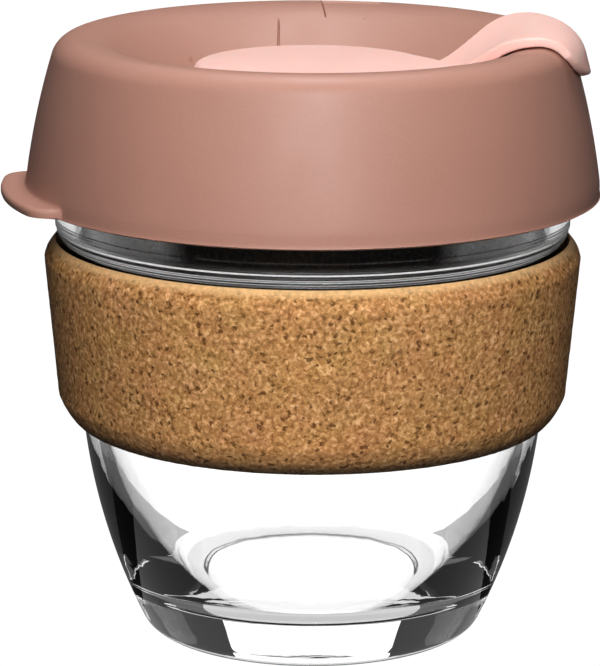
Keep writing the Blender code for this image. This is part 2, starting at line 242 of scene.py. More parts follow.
def glass_outline():
    lip = WALL / 2
    lip_z = GLASS_TOP - lip
    outer = belly_and_foot(BELLY_TOP, BELLY_RADIUS, FOOT_RADIUS, 0.0)
    inner_top = (glass_radius(INNER_BELLY_TOP_Z) - WALL, INNER_BELLY_TOP_Z)
    inner = belly_and_foot(inner_top, INNER_BELLY_RADIUS, INNER_FOOT_RADIUS, FLOOR_Z)
    flat = PUNT_RADIUS - PUNT_STEP
    punt = [(flat * i / 8, PUNT_DEPTH) for i in range(9)]
    for i in range(1, 11):
        punt.append((flat + PUNT_STEP * i / 10, PUNT_DEPTH * (1 + math.cos(math.pi * i / 10)) / 2))
    outline = punt + outer[::-1]
    outline += [(glass_radius(z) - waist_depth(z) + rib_height(z), z)
                for z in wall_heights(outer[0][1] + 0.5 * MM, lip_z)]
    outline += arc((glass_radius(lip_z) - lip, lip_z), lip, 0.0, math.pi, 14)
    outline += line(outline[-1], inner[0], 8)[:-1]
    outline += inner
    outline += [(inner[-1][0] * share, FLOOR_Z) for share in (0.75, 0.5, 0.25, 0.0)]
    return outline


def band_outline():
    inner_top = (glass_radius(BAND_TOP) + GAP, BAND_TOP)
    inner_bottom = (glass_radius(BAND_BOTTOM) + GAP, BAND_BOTTOM)
    foot = []
    for flat, height in arc((0.0, 0.0), 1.0, -math.pi / 2, 0.0, 14):
        inset = 1 - (0.5 * flat + 0.5 * (1 + height))
        foot.append((BAND_FOOT[0] - BAND_FOOT_ROUND * inset,
                     BAND_FOOT[1] + (BAND_FOOT[1] - BAND_BOTTOM) * height))
    outline = [inner_bottom, (foot[0][0] - 0.1 * MM, BAND_BOTTOM)] + foot
    outline += line(foot[-1], BAND_SHOULDER, 56)
    outline += [(BAND_SHOULDER[0] - inset * MM, BAND_TOP - drop * MM)
                for inset, drop in BAND_TOP_EDGE]
    outline += [inner_top]
    outline += line(inner_top, inner_bottom, 10)[:-1]
    return outline


def skirt_arc(offset, end_z, steps):
    start = (CREST_R + SHOULDER_RADIUS * math.cos(SHOULDER_TILT),
             CREST_Z - SHOULDER_RADIUS * (1 - math.sin(SHOULDER_TILT)))
    end = (LID_EDGE_R, LID_BOTTOM + 0.6 * MM)
    chord = math.hypot(end[0] - start[0], end[1] - start[1])
    chord_tilt = math.atan2(end[0] - start[0], start[1] - end[1])
    radius = chord / (2 * math.sin(SHOULDER_TILT - chord_tilt))
    centre = (start[0] - radius * math.cos(SHOULDER_TILT), start[1] - radius * math.sin(SHOULDER_TILT))
    end_angle = math.asin((end_z - centre[1]) / (radius - offset))
    return arc(centre, radius - offset, SHOULDER_TILT, end_angle, steps)


def dish_curve(offset, crest_steps, slope_steps, fillet_steps):
    """The dish from the crest in to its flat floor, moved into the lid by offset."""
    crest = arc((CREST_R, CREST_Z - CREST_INNER_RADIUS), CREST_INNER_RADIUS - offset,
                math.pi / 2, math.pi / 2 + DISH_TILT, crest_steps)
    slope_top = (CREST_R - CREST_INNER_RADIUS * math.sin(DISH_TILT),
                 CREST_Z - CREST_INNER_RADIUS * (1 - math.cos(DISH_TILT)))
    floor_meets = slope_top[0] - (slope_top[1] - DISH_FLOOR_Z) / math.tan(DISH_TILT)
    centre = (floor_meets - DISH_FILLET * math.tan(DISH_TILT / 2), DISH_FLOOR_Z + DISH_FILLET)
    fillet = arc(centre, DISH_FILLET + offset, -math.pi / 2 + DISH_TILT, -math.pi / 2, fillet_steps)
    return crest + line(crest[-1], fillet[0], slope_steps)[:-1] + fillet


def turn_off(angle, middle):
    """Signed angle from middle, between -pi and pi."""
    return (angle - middle + math.pi) % (2 * math.pi) - math.pi


def tab_reach(angle):
    """Radius of the thumb tab's edge at an angle round the lid; 0 where there is no tab."""
    off = abs(turn_off(angle, TAB_ANGLE))
    centre_t = TAB_HALF_WIDTH - TAB_CORNER
    centre_d = math.sqrt((TAB_TIP_R - TAB_CORNER) ** 2 - centre_t ** 2)
    if off <= math.atan2(centre_t, centre_d):
        return TAB_TIP_R
    if off > math.radians(30):
        return 0.0
    along = centre_d * math.cos(off) + centre_t * math.sin(off)
    aside = centre_d * math.sin(off) - centre_t * math.cos(off)
    inside = TAB_CORNER ** 2 - aside ** 2
    return along + math.sqrt(inside) if inside > 0 else 0.0


def park_depth(radius, off):
    """How deep the parking recess is cut at a point of the dish."""
    share = (radius - PARK_R[0]) / (PARK_R[1] - PARK_R[0])
    if share < 0 or share > 1:
        return 0.0
    half = (PARK_BOTTOM_WIDTH + (PARK_TOP_WIDTH - PARK_BOTTOM_WIDTH) * share) / 2
    inside = half - abs(off * radius)
    edge = smooth(inside / (0.2 * MM))
    ledge = smooth(share / 0.06)
    side_line = PARK_LINE_DEPTH * smooth(1 - abs(inside - PARK_LINE_WIDTH) / PARK_LINE_WIDTH)
    return (PARK_DEPTH * (1 - 0.8 * share) * edge + side_line) * ledge


def groove_depth(radius, angle):
    """Two short moulded lines in the far side of the dish."""
    x = radius * math.cos(angle)
    y = radius * math.sin(angle)
    depth = 0.0
    for middle, near, far in GROOVES:
        if near <= y <= far:
            width = GROOVE_HALF_WIDTH * (1.3 - 0.6 * (y - near) / (far - near))
            depth = max(depth, GROOVE_DEPTH * smooth(1.5 - 1.5 * abs(x - middle) / width))
    return depth


def lid_outline(angle):
    """The lid's closed outline at one angle; every angle has the same number of points."""
    reach = tab_reach(angle)
    park_off = turn_off(angle, PARK_ANGLE)
    outline = [(HUB_HOLE_R, DISH_FLOOR_Z)]
    outline += line(outline[-1], (DISH_FLAT_R, DISH_FLOOR_Z), 4)
    for radius, height in dish_curve(0.0, 16, 26, 8)[::-1]:
        cut = park_depth(radius, park_off) + groove_depth(radius, angle)
        outline.append((radius, height - cut))
    outline += arc((CREST_R, CREST_Z - SHOULDER_RADIUS), SHOULDER_RADIUS,
                   math.pi / 2, SHOULDER_TILT, 14)[1:]
    skirt = skirt_arc(0.0, TAB_TOP + 0.5 * MM, 18)
    outline += skirt[1:]
    root = skirt[-1][0]
    tab = max(reach, root + 0.02 * MM)
    out = smooth((tab - root) / (1.2 * MM))
    round_off = 0.45 * MM * out
    outline += [(root + 0.1 * MM * out, TAB_TOP + 0.2 * MM), (root + 0.35 * MM * out, TAB_TOP)]
    outline += line(outline[-1], (max(tab - round_off, root), TAB_TOP), 3)
    middle = (TAB_TOP + TAB_BOTTOM) / 2
    for lift in (0.75, 0.3, -0.3, -0.75):
        inset = round_off * (1 - math.sqrt(1 - lift * lift))
        outline.append((tab - inset, middle + lift * (TAB_TOP - TAB_BOTTOM) / 2))
    low = (LID_EDGE_R - 0.02 * MM, TAB_BOTTOM)
    outline += line((max(tab - round_off, root), TAB_BOTTOM), low, 2)
    outline += [(LID_EDGE_R - 0.12 * MM, LID_BOTTOM + 0.22 * MM), (LID_EDGE_R - 0.5 * MM, LID_BOTTOM)]
    inner_skirt = skirt_arc(LID_WALL, LID_BOTTOM, 12)
    ring_inner_r = SEAL_RING_R - SEAL_RING_WALL
    outline += inner_skirt[::-1]
    outline += [(SEAL_RING_R, CREST_Z - 3.0 * MM), (SEAL_RING_R, SEAL_RING_BOTTOM_Z + 0.5 * MM)]
    outline += [(SEAL_RING_R - 0.4 * MM, SEAL_RING_BOTTOM_Z), (ring_inner_r, SEAL_RING_BOTTOM_Z)]
    outline += [(ring_inner_r, CREST_Z - DISH_THICKNESS)]
    outline += dish_curve(DISH_THICKNESS, 6, 4, 5)[1:]
    outline += [(HUB_HOLE_R, DISH_FLOOR_Z - DISH_THICKNESS)]
    return outline


def hub_outline():
    under_z = DISH_FLOOR_Z + GAP
    flange_top = DISH_FLOOR_Z - DISH_THICKNESS - GAP
    outline = [(0.0, flange_top - HUB_FLANGE_THICKNESS)]
    outline += [(HUB_FLANGE_R - 0.8 * MM, flange_top - HUB_FLANGE_THICKNESS)]
    outline += [(HUB_FLANGE_R, flange_top - 0.5 * MM), (HUB_FLANGE_R, flange_top)]
    outline += [(HUB_STEM_R, flange_top), (HUB_STEM_R, under_z), (HUB_R, under_z)]
    outline += arc((HUB_R - HUB_EDGE_ROUND, HUB_EDGE_Z - HUB_EDGE_ROUND), HUB_EDGE_ROUND,
                   0.0, math.radians(80), 6)
    for i in range(1, 13):
        share = 1 - i / 12
        outline.append(((HUB_R - HUB_EDGE_ROUND) * share,
                        HUB_CROWN_Z - (HUB_CROWN_Z - HUB_EDGE_Z) * share ** 2))
    return outline


def arm_half_width(radius):
    """Half the arm's width: a fillet into the disc, a waist, then a flare to the crest."""
    flare = smooth((radius - ARM_WAIST_R) / (CREST_R - ARM_WAIST_R))
    fillet = max(0.0, ARM_WAIST_R + 0.6 * MM - radius) / (4.0 * MM)
    width = ARM_WAIST_HALF_WIDTH + (ARM_CREST_HALF_WIDTH - ARM_WAIST_HALF_WIDTH) * flare
    return width + 3.2 * MM * min(fillet, 1.0) ** 2


def arm_thickness(share):
    if share < 0.35:
        return ARM_ROOT_THICKNESS + (ARM_THICKNESS - ARM_ROOT_THICKNESS) * smooth(share / 0.35)
    return ARM_THICKNESS + (ARM_TIP_THICKNESS - ARM_THICKNESS) * smooth((share - 0.55) / 0.45)


class Ribbon:
    """A curve in the (radius, height) plane that can be read at any length along it."""

    def __init__(self, points):
        self.points = points
        self.lengths = [0.0]
        for (r0, z0), (r1, z1) in zip(points, points[1:]):
            self.lengths.append(self.lengths[-1] + math.hypot(r1 - r0, z1 - z0))

    def total(self):
        return self.lengths[-1]

    def normal(self, i):
        before = self.points[max(i - 1, 0)]
        after = self.points[min(i + 1, len(self.points) - 1)]
        run = Vector((after[0] - before[0], after[1] - before[1])).normalized()
        return Vector((-run.y, run.x))

    def read(self, length, lift):
        """Point at a length along the curve, moved off it by lift."""
        i = 0
        while i < len(self.lengths) - 2 and self.lengths[i + 1] < length:
            i += 1
        share = (length - self.lengths[i]) / (self.lengths[i + 1] - self.lengths[i])
        share = min(max(share, 0.0), 1.0)
        point = Vector(self.points[i]).lerp(Vector(self.points[i + 1]), share)
        normal = self.normal(i).lerp(self.normal(i + 1), share).normalized()
        return point + normal * lift


def arm_ribbon():
    """The lid's top surface from the dish floor, over the crest and down the skirt."""
    path = [(ARM_ROOT_R, DISH_FLOOR_Z)] + dish_curve(0.0, 16, 12, 8)[::-1]
    path += arc((CREST_R, CREST_Z - SHOULDER_RADIUS), SHOULDER_RADIUS,
                math.pi / 2, SHOULDER_TILT, 14)[1:]
    return Ribbon(path + skirt_arc(0.0, ARM_TIP_Z, 6)[1:])


# ---------------------------------------------------------------- meshes

def finish_mesh(name, build, mat, sharp=None):
    bmesh.ops.recalc_face_normals(build, faces=build.faces)
    mesh = bpy.data.meshes.new(name)
    build.to_mesh(mesh)
    build.free()
    obj = bpy.data.objects.new(name, mesh)
    bpy.context.scene.collection.objects.link(obj)
    mesh.materials.append(mat)
    for polygon in mesh.polygons:
        polygon.use_smooth = True
    if sharp is not None:
        mesh.set_sharp_from_angle(angle=math.radians(sharp))
    return obj


def lathe(name, outline_at, angles, mat, sharp=None):
    """Skin the outlines at successive angles round Z.  Ends on the axis become poles."""
    build = bmesh.new()
    columns = []
    poles = {}
    for angle in angles:
        column = []
        for i, (radius, height) in enumerate(outline_at(angle)):
            if radius <= 0.0:
                if i not in poles:
                    poles[i] = build.verts.new((0.0, 0.0, height))
                column.append(poles[i])
            else:
                column.append(build.verts.new((radius * math.cos(angle),
                                               radius * math.sin(angle), height)))
        columns.append(column)
    closed = not poles
    count = len(columns[0])
    for a, b in zip(columns, columns[1:] + columns[:1]):
        for i in range(count if closed else count - 1):
            j = (i + 1) % count
            corners = []
            for vertex in (a[i], b[i], b[j], a[j]):
                if vertex not in corners:
                    corners.append(vertex)
            build.faces.new(corners)
    return finish_mesh(name, build, mat, sharp)


def even_angles(count):
    return [2 * math.pi * i / count for i in range(count)]


def lid_angles():
    """Even steps round the lid, finer over the tab, the parking recess and the grooves."""
    angles = []
    angle = 0.0
    while angle < 2 * math.pi - 0.002:
        angles.append(angle)
        near_park = abs(turn_off(angle, PARK_ANGLE)) < math.radians(11)
        near_groove = any(abs(turn_off(angle, math.radians(middle))) < math.radians(span)
                          for middle, span in GROOVE_SPANS)
        near_tab = abs(turn_off(angle, TAB_ANGLE)) < math.radians(24)
        step = 0.13 if near_groove else 0.16 if near_park else 0.6 if near_tab else 1.5
        angle += math.radians(step)
    return angles


# ---------------------------------------------------------------- materials

def new_material(name):
    mat = bpy.data.materials.new(name)
    mat.use_nodes = True
    return mat, mat.node_tree, mat.node_tree.nodes["Principled BSDF"]


def node(tree, kind, **settings):
    made = tree.nodes.new(kind)
    for key, value in settings.items():
        if key in made.inputs:
            made.inputs[key].default_value = value
        else:
            setattr(made, key, value)
    return made


def math_node(tree, operation, first, second=None, clamp=False):
    made = tree.nodes.new("ShaderNodeMath")
    made.operation = operation
    made.use_clamp = clamp
    for i, value in enumerate((first, second)):
        if value is None:
            continue
        if isinstance(value, (int, float)):
            made.inputs[i].default_value = value
        else:
            tree.links.new(value, made.inputs[i])
    return made.outputs[0]


def ramp(tree, factor, *stops):
    made = tree.nodes.new("ShaderNodeValToRGB")
    while len(made.color_ramp.elements) < len(stops):
        made.color_ramp.elements.new(0.5)
    for element, (position, colour) in zip(made.color_ramp.elements, stops):
        element.position = position
        element.color = (*colour, 1.0) if isinstance(colour, tuple) else (colour,) * 3 + (1.0,)
    tree.links.new(factor, made.inputs["Fac"])
    return made.outputs["Color"]


def mix(tree, blend, factor, first, second):
    made = tree.nodes.new("ShaderNodeMix")
    made.data_type = "RGBA"
    made.blend_type = blend
    for socket, value in ((made.inputs[0], factor), (made.inputs[6], first), (made.inputs[7], second)):
        if isinstance(value, (int, float)):
            socket.default_value = value
        elif isinstance(value, tuple):
            socket.default_value = (*value, 1.0)
        else:
            tree.links.new(value, socket)
    return made.outputs[2]


def texture(tree, kind, coords, output, **settings):
    made = node(tree, kind, **settings)
    tree.links.new(coords, made.inputs["Vector"])
    return made.outputs[output]


def bump(tree, shader, height, strength, distance):
    made = node(tree, "ShaderNodeBump", Strength=strength, Distance=distance)
    tree.links.new(height, made.inputs["Height"])
    tree.links.new(made.outputs[0], shader.inputs["Normal"])


def object_coords(tree):
    return tree.nodes.new("ShaderNodeTexCoord").outputs["Object"]


def glass_material():
    """Pressed soda glass: clear, faintly wavy, frosted at the ribs, with painted contact shadow: its
    lowest 0.12 mm is tinted grey.
    """
    mat, tree, shader = new_material("clear_glass")
    coords = object_coords(tree)
    shader.inputs["IOR"].default_value = 1.5
    shader.inputs["Transmission Weight"].default_value = 1.0
    polish = texture(tree, "ShaderNodeTexNoise", coords, "Fac", Scale=180.0, Detail=3.0)
    height = node(tree, "ShaderNodeSeparateXYZ")
    tree.links.new(coords, height.inputs[0])
    off_ring = math_node(tree, "ABSOLUTE", math_node(tree, "SUBTRACT", height.outputs["Z"], RING_Z))
    ring = ramp(tree, math_node(tree, "MULTIPLY", off_ring, 1 / RING_REACH), (0.6, 0.2), (0.9, 0.0))
    # Painted contact shadow: the glass below this height is tinted grey where it stands on the table.
    painted_contact_shade = math_node(tree, "LESS_THAN", height.outputs["Z"], CONTACT_SHADE_Z)
    colour = mix(tree, "MIX", painted_contact_shade, (1.0, 1.0, 1.0), (0.74, 0.74, 0.74))
    tree.links.new(colour, shader.inputs["Base Color"])
    rough = mix(tree, "ADD", 1.0, ramp(tree, polish, (0.45, 0.0), (0.8, 0.03)), ring)
    tree.links.new(rough, shader.inputs["Roughness"])
    waves = texture(tree, "ShaderNodeTexNoise", coords, "Fac", Scale=150.0, Detail=2.0)
    bump(tree, shader, waves, 0.07, 0.5 * MM)
    return mat


def cork_material():
    """Pressed cork granules: mixed browns and dark bark specks, with a pale top edge, painted shade
    darkening the foot and painted shade on the bore."""
    mat, tree, shader = new_material("cork")
    coords = object_coords(tree)
    grains = texture(tree, "ShaderNodeTexNoise", coords, "Fac", Scale=1500.0, Detail=2.0,
                     Roughness=0.55, Distortion=0.4)
    colour = ramp(tree, grains, (0.28, (0.19, 0.078, 0.02)), (0.40, (0.42, 0.195, 0.060)),
                  (0.52, (0.56, 0.272, 0.094)), (0.62, (0.73, 0.382, 0.150)), (0.73, (0.93, 0.55, 0.265)))
    flakes = texture(tree, "ShaderNodeTexVoronoi", coords, "Color", Scale=1050.0)
    pick = node(tree, "ShaderNodeSeparateColor")
    tree.links.new(flakes, pick.inputs[0])
    tints = ramp(tree, pick.outputs[0], (0.0, (0.84, 0.80, 0.74)), (0.5, 1.0),
                 (1.0, (1.12, 1.13, 1.16)))
    colour = mix(tree, "MULTIPLY", 0.8, colour, tints)
    bits = node(tree, "ShaderNodeTexVoronoi", Scale=980.0)
    ragged = mix(tree, "ADD", 0.0011, coords,
                 texture(tree, "ShaderNodeTexNoise", coords, "Color", Scale=1300.0, Detail=1.0))
    tree.links.new(ragged, bits.inputs["Vector"])
    chance = node(tree, "ShaderNodeSeparateColor")
    tree.links.new(bits.outputs["Color"], chance.inputs[0])
    thick = texture(tree, "ShaderNodeTexNoise", coords, "Fac", Scale=260.0, Detail=1.0)
    crowd = math_node(tree, "ADD", chance.outputs[1], math_node(tree, "MULTIPLY", thick, 0.5))
    chosen = ramp(tree, crowd, (0.9, 0.0), (1.1, 1.0))
    dot = ramp(tree, bits.outputs["Distance"], (0.24, 1.0), (0.42, 0.0))
    bark = math_node(tree, "MULTIPLY", dot, chosen)
    colour = mix(tree, "MIX", math_node(tree, "MULTIPLY", bark, 0.88), colour, (0.125, 0.043, 0.008))
    streaks = texture(tree, "ShaderNodeTexNoise", coords, "Fac", Scale=4200.0, Detail=1.0)
    colour = mix(tree, "MULTIPLY", 0.5, colour, ramp(tree, streaks, (0.3, 0.8), (0.7, 1.2)))
    clouds = texture(tree, "ShaderNodeTexNoise", coords, "Color", Scale=160.0, Detail=2.0)
    colour = mix(tree, "OVERLAY", 0.11, colour, clouds)

    height = node(tree, "ShaderNodeSeparateXYZ")
    tree.links.new(coords, height.inputs[0])
    raised = math_node(tree, "SUBTRACT", height.outputs["Z"], BAND_TOP - 1.3 * MM)
    raised = math_node(tree, "MULTIPLY", raised, 1 / (0.8 * MM), clamp=True)
    colour = mix(tree, "MIX", math_node(tree, "MULTIPLY", raised, 0.62), colour, (0.98, 0.62, 0.29))
    # Painted shade: the colour darkens over the band's lowest 2.6 mm, under its rounded foot.
    under = math_node(tree, "SUBTRACT", BAND_BOTTOM + 2.6 * MM, height.outputs["Z"])
    under = math_node(tree, "MULTIPLY", under, 1 / (1.6 * MM), clamp=True)
    colour = mix(tree, "MULTIPLY", under, colour, (0.30, 0.33, 0.38))
    # Painted shade: the bore, against the glass, is darkened almost to black.
    across = node(tree, "ShaderNodeVectorMath", operation="LENGTH")
    flat = node(tree, "ShaderNodeCombineXYZ")
    tree.links.new(height.outputs["X"], flat.inputs["X"])
    tree.links.new(height.outputs["Y"], flat.inputs["Y"])
    tree.links.new(flat.outputs[0], across.inputs[0])
    bore_r = math_node(tree, "ADD", math_node(tree, "MULTIPLY", height.outputs["Z"], GLASS_SLOPE),
                       glass_radius(0.0) + GAP + 0.04 * MM)
    bore = math_node(tree, "LESS_THAN", across.outputs["Value"], bore_r)
    colour = mix(tree, "MIX", math_node(tree, "MULTIPLY", bore, 0.8), colour, (0.05, 0.022, 0.010))
    tree.links.new(colour, shader.inputs["Base Color"])
    shader.inputs["Specular IOR Level"].default_value = 0.25
    tree.links.new(ramp(tree, streaks, (0.3, 0.72), (0.7, 0.95)), shader.inputs["Roughness"])
    bump(tree, shader, mix(tree, "SUBTRACT", 0.5, grains, bark), 0.5, 0.25 * MM)
    return mat


def painted_parking_line_shade(tree, coords):
    """Painted shade in the right-hand line of the parking recess: 1 in the line, 0 elsewhere."""
    place = node(tree, "ShaderNodeSeparateXYZ")
    tree.links.new(coords, place.inputs[0])
    ends = []
    for radius, width in zip(PARK_R, (PARK_BOTTOM_WIDTH, PARK_TOP_WIDTH)):
        angle = PARK_ANGLE - (width / 2 - PARK_LINE_WIDTH) / radius
        ends.append(Vector((radius * math.cos(angle), radius * math.sin(angle))))
    along = (ends[1] - ends[0]).normalized()

    def offset(axis):
        turned = math_node(tree, "ADD", math_node(tree, "MULTIPLY", place.outputs["X"], axis.x),
                           math_node(tree, "MULTIPLY", place.outputs["Y"], axis.y))
        return math_node(tree, "SUBTRACT", turned, axis.dot(ends[0]))

    across = math_node(tree, "ABSOLUTE", offset(Vector((along.y, -along.x))))
    off_line = math_node(tree, "MULTIPLY", across, 1 / (0.17 * MM))
    near_line = math_node(tree, "SUBTRACT", 1.6, off_line, clamp=True)
    up = offset(along)
    within = math_node(tree, "MULTIPLY", math_node(tree, "GREATER_THAN", up, -0.1 * MM),
                       math_node(tree, "LESS_THAN", up, (ends[1] - ends[0]).length))
    outside = math_node(tree, "GREATER_THAN", place.outputs["Z"], DISH_FLOOR_Z + 1.0 * MM)
    return math_node(tree, "MULTIPLY", near_line, math_node(tree, "MULTIPLY", within, outside))


def lid_material():
    """Matte moulded polypropylene with a fine texture, slight handling marks and painted shade in the
    right-hand line of the parking recess.
    """
    mat, tree, shader = new_material("lid_plastic")
    coords = object_coords(tree)
    clouds = texture(tree, "ShaderNodeTexNoise", coords, "Fac", Scale=60.0, Detail=4.0)
    colour = ramp(tree, clouds, (0.3, (0.414, 0.202, 0.150)), (0.7, (0.438, 0.217, 0.162)))
    grain = texture(tree, "ShaderNodeTexNoise", coords, "Fac", Scale=4200.0, Detail=2.0)
    colour = mix(tree, "MULTIPLY", 1.0, colour, ramp(tree, grain, (0.35, 0.965), (0.65, 1.035)))
    # Painted shade: the right-hand line of the parking recess is darkened.
    painted_crease_shade = painted_parking_line_shade(tree, coords)
    colour = mix(tree, "MULTIPLY", math_node(tree, "MULTIPLY", painted_crease_shade, 0.75), colour, (0.30, 0.24, 0.22))
    tree.links.new(colour, shader.inputs["Base Color"])
    wear = texture(tree, "ShaderNodeTexNoise", coords, "Fac", Scale=140.0, Detail=5.0)
    tree.links.new(ramp(tree, wear, (0.3, 0.50), (0.7, 0.58)), shader.inputs["Roughness"])
    bump(tree, shader, grain, 0.10, 0.06 * MM)
    return mat


def plug_material():
    """Soft moulded rubber: satin, a little light passing through it."""
    mat, tree, shader = new_material("plug_rubber")
    coords = object_coords(tree)
    clouds = texture(tree, "ShaderNodeTexNoise", coords, "Fac", Scale=90.0, Detail=3.0)
    colour = ramp(tree, clouds, (0.3, (0.985, 0.572, 0.505)), (0.7, (1.0, 0.598, 0.53)))
    tree.links.new(colour, shader.inputs["Base Color"])
    shader.inputs["Subsurface Weight"].default_value = 0.35
    shader.inputs["Subsurface Radius"].default_value = (1.0, 0.4, 0.3)
    shader.inputs["Subsurface Scale"].default_value = 1.6 * MM
    wear = texture(tree, "ShaderNodeTexNoise", coords, "Fac", Scale=260.0, Detail=4.0)
    tree.links.new(ramp(tree, wear, (0.3, 0.48), (0.7, 0.6)), shader.inputs["Roughness"])
    grain = texture(tree, "ShaderNodeTexNoise", coords, "Fac", Scale=3000.0, Detail=2.0)
    bump(tree, shader, grain, 0.08, 0.05 * MM)
    return mat


# ---------------------------------------------------------------- pieces

def make_glass():
    glass = lathe("cup_glass", lambda angle: glass_outline(), even_angles(256), glass_material())
    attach(glass, "cup")
    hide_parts("glass_cup")


def roughen_cork(mesh):
    """Small pits and lost granules on the faces that show, none on the bore."""
    moved = []
    for vertex in mesh.vertices:
        co = vertex.co.copy()
        if math.hypot(co.x, co.y) > glass_radius(co.z) + 0.6 * MM:
            cells, centres = noise.voronoi(co / (2.2 * MM))
            pick = noise.cell(centres[0] * 7.3)
            reach = 0.16 + 0.14 * pick
            pit = 0.28 * MM * smooth(1 - cells[0] / reach) if pick > 0.55 else 0.0
            lumps = 0.05 * MM * noise.noise(co / (1.3 * MM)) - 0.03 * MM
            co -= vertex.normal * (pit - lumps)
        moved.extend(co)
    mesh.vertices.foreach_set("co", moved)
    mesh.update()


def make_band():
    outline = band_outline()
    band = lathe("band_cork", lambda angle: outline, even_angles(600), cork_material())
    roughen_cork(band.data)
    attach(band, "band")
    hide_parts("cork_band")


def sip_cutter():
    """Rounded slot through the dish wall, under the plug's arm."""
    end = SIP_HOLE_WIDTH / 2
    reach = SIP_HOLE_LENGTH / 2 - end
    outline = [(SIP_HOLE_R + x, reach + y) for x, y in arc((0, 0), end, 0.0, math.pi, 16)]
    outline += [(SIP_HOLE_R + x, y - reach) for x, y in arc((0, 0), end, math.pi, 2 * math.pi, 16)]
    build = bmesh.new()
    low = [build.verts.new((x, y, DISH_FLOOR_Z - 4 * MM)) for x, y in outline]
    high = [build.verts.new((x, y, CREST_Z)) for x, y in outline]
    build.faces.new(low)
    build.faces.new(high)
    for i in range(len(outline)):
        j = (i + 1) % len(outline)
        build.faces.new((low[i], low[j], high[j], high[i]))
    return finish_mesh("sip_cutter", build, bpy.data.materials["lid_plastic"])


def make_lid():
    lid = lathe("lid_shell", lid_outline, lid_angles(), lid_material())
    cutter = sip_cutter()
    hole = lid.modifiers.new("sip", "BOOLEAN")
    hole.operation = "DIFFERENCE"
    hole.solver = "EXACT"
    hole.object = cutter
    cut = bpy.data.meshes.new_from_object(lid.evaluated_get(bpy.context.evaluated_depsgraph_get()))
    lid.modifiers.clear()
    lid.data = cut
    cut.set_sharp_from_angle(angle=math.radians(40))
    bpy.data.objects.remove(cutter)
    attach(lid, "lid")
    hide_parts("lid")


def arm_slab(rows, columns):
    """The arm as a slab that follows the lid, from under the disc to its rounded tip."""
    ribbon = arm_ribbon()
    build = bmesh.new()
    layers = []
    for side in (0, 1):
        grid = []
        for i in range(rows + 1):
            share = i / rows
            strip = []
            for j in range(columns + 1):
                v = -1 + 2 * j / columns
                length = (ribbon.total() - ARM_TIP_ROUNDING * abs(v) ** 3) * share
                radius = ribbon.read(length, 0.0).x
                crown = 0.15 * MM * (1 - v * v) * side
                point = ribbon.read(length, GAP + side * arm_thickness(share) + crown)
                across = v * arm_half_width(radius)
                strip.append(build.verts.new((math.sqrt(max(point.x ** 2 - across ** 2, 0.0)),
                                              across, point.y)))
            grid.append(strip)
        layers.append(grid)
    low, high = layers
    for i in range(rows):
        for j in range(columns):
            build.faces.new((low[i][j], low[i][j + 1], low[i + 1][j + 1], low[i + 1][j]))
            build.faces.new((high[i][j], high[i + 1][j], high[i + 1][j + 1], high[i][j + 1]))
        for j in (0, columns):
            build.faces.new((low[i][j], low[i + 1][j], high[i + 1][j], high[i][j]))
    for j in range(columns):
        for i in (0, rows):
            build.faces.new((low[i][j], low[i][j + 1], high[i][j + 1], high[i][j]))
    return build


def make_plug():
    """Disc, stem, flange and arm grown into one soft moulding."""
    rubber = plug_material()
    hub = lathe("plug_soft", lambda angle: hub_outline(), even_angles(144), rubber)
    arm = finish_mesh("arm_slab", arm_slab(90, 40), rubber)
    build = bmesh.new()
    build.from_mesh(hub.data)
    build.from_mesh(arm.data)
    build.to_mesh(hub.data)
    build.free()
    bpy.data.objects.remove(arm)
    remesh = hub.modifiers.new("grow", "REMESH")
    remesh.mode = "VOXEL"
    remesh.voxel_size = PLUG_VOXEL
    soften = hub.modifiers.new("soften", "SMOOTH")
    soften.factor = 0.5
    soften.iterations = 4
    solid = bpy.data.meshes.new_from_object(hub.evaluated_get(bpy.context.evaluated_depsgraph_get()))
    hub.modifiers.clear()
    hub.data = solid
    for polygon in solid.polygons:
        polygon.use_smooth = True
    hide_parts("plug_hub", "plug_arm")
    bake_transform(hub)


# ---------------------------------------------------------------- studio

def emission(name, colour, strength):
    mat = bpy.data.materials.new(name)
    mat.use_nodes = True
    nodes = mat.node_tree.nodes
    nodes.clear()
    glow = nodes.new("ShaderNodeEmission")
    glow.inputs["Color"].default_value = (*colour, 1.0)
    glow.inputs["Strength"].default_value = strength
    out = nodes.new("ShaderNodeOutputMaterial")
    mat.node_tree.links.new(glow.outputs[0], out.inputs["Surface"])
    return mat


def seen_by(obj, camera=False, diffuse=False, glossy=False, transmission=False, shadow=False):
    obj.visible_camera = camera
    obj.visible_diffuse = diffuse
    obj.visible_glossy = glossy
    obj.visible_transmission = transmission
    obj.visible_shadow = shadow
    obj.visible_volume_scatter = False


def wall(name, radius, bottom, top, mat):
    """Upright card all the way round the cup."""
    build = bmesh.new()
    steps = 90
    rings = []
    for z in (bottom, top):
        ring = []
        for i in range(steps + 1):
            angle = 2 * math.pi * i / steps
            ring.append(build.verts.new((radius * math.cos(angle), radius * math.sin(angle), z)))
        rings.append(ring)
    for i in range(steps):
        build.faces.new((rings[0][i], rings[0][i + 1], rings[1][i + 1], rings[1][i]))
    return finish_mesh(name, build, mat)


def disc(name, radius, z, mat):
    """Flat round card centred under or over the cup."""
    build = bmesh.new()
    middle = build.verts.new((0.0, 0.0, z))
    rim = [build.verts.new((radius * math.cos(angle), radius * math.sin(angle), z))
           for angle in even_angles(90)]
    for a, b in zip(rim, rim[1:] + rim[:1]):
        build.faces.new((middle, a, b))
    return finish_mesh(name, build, mat)


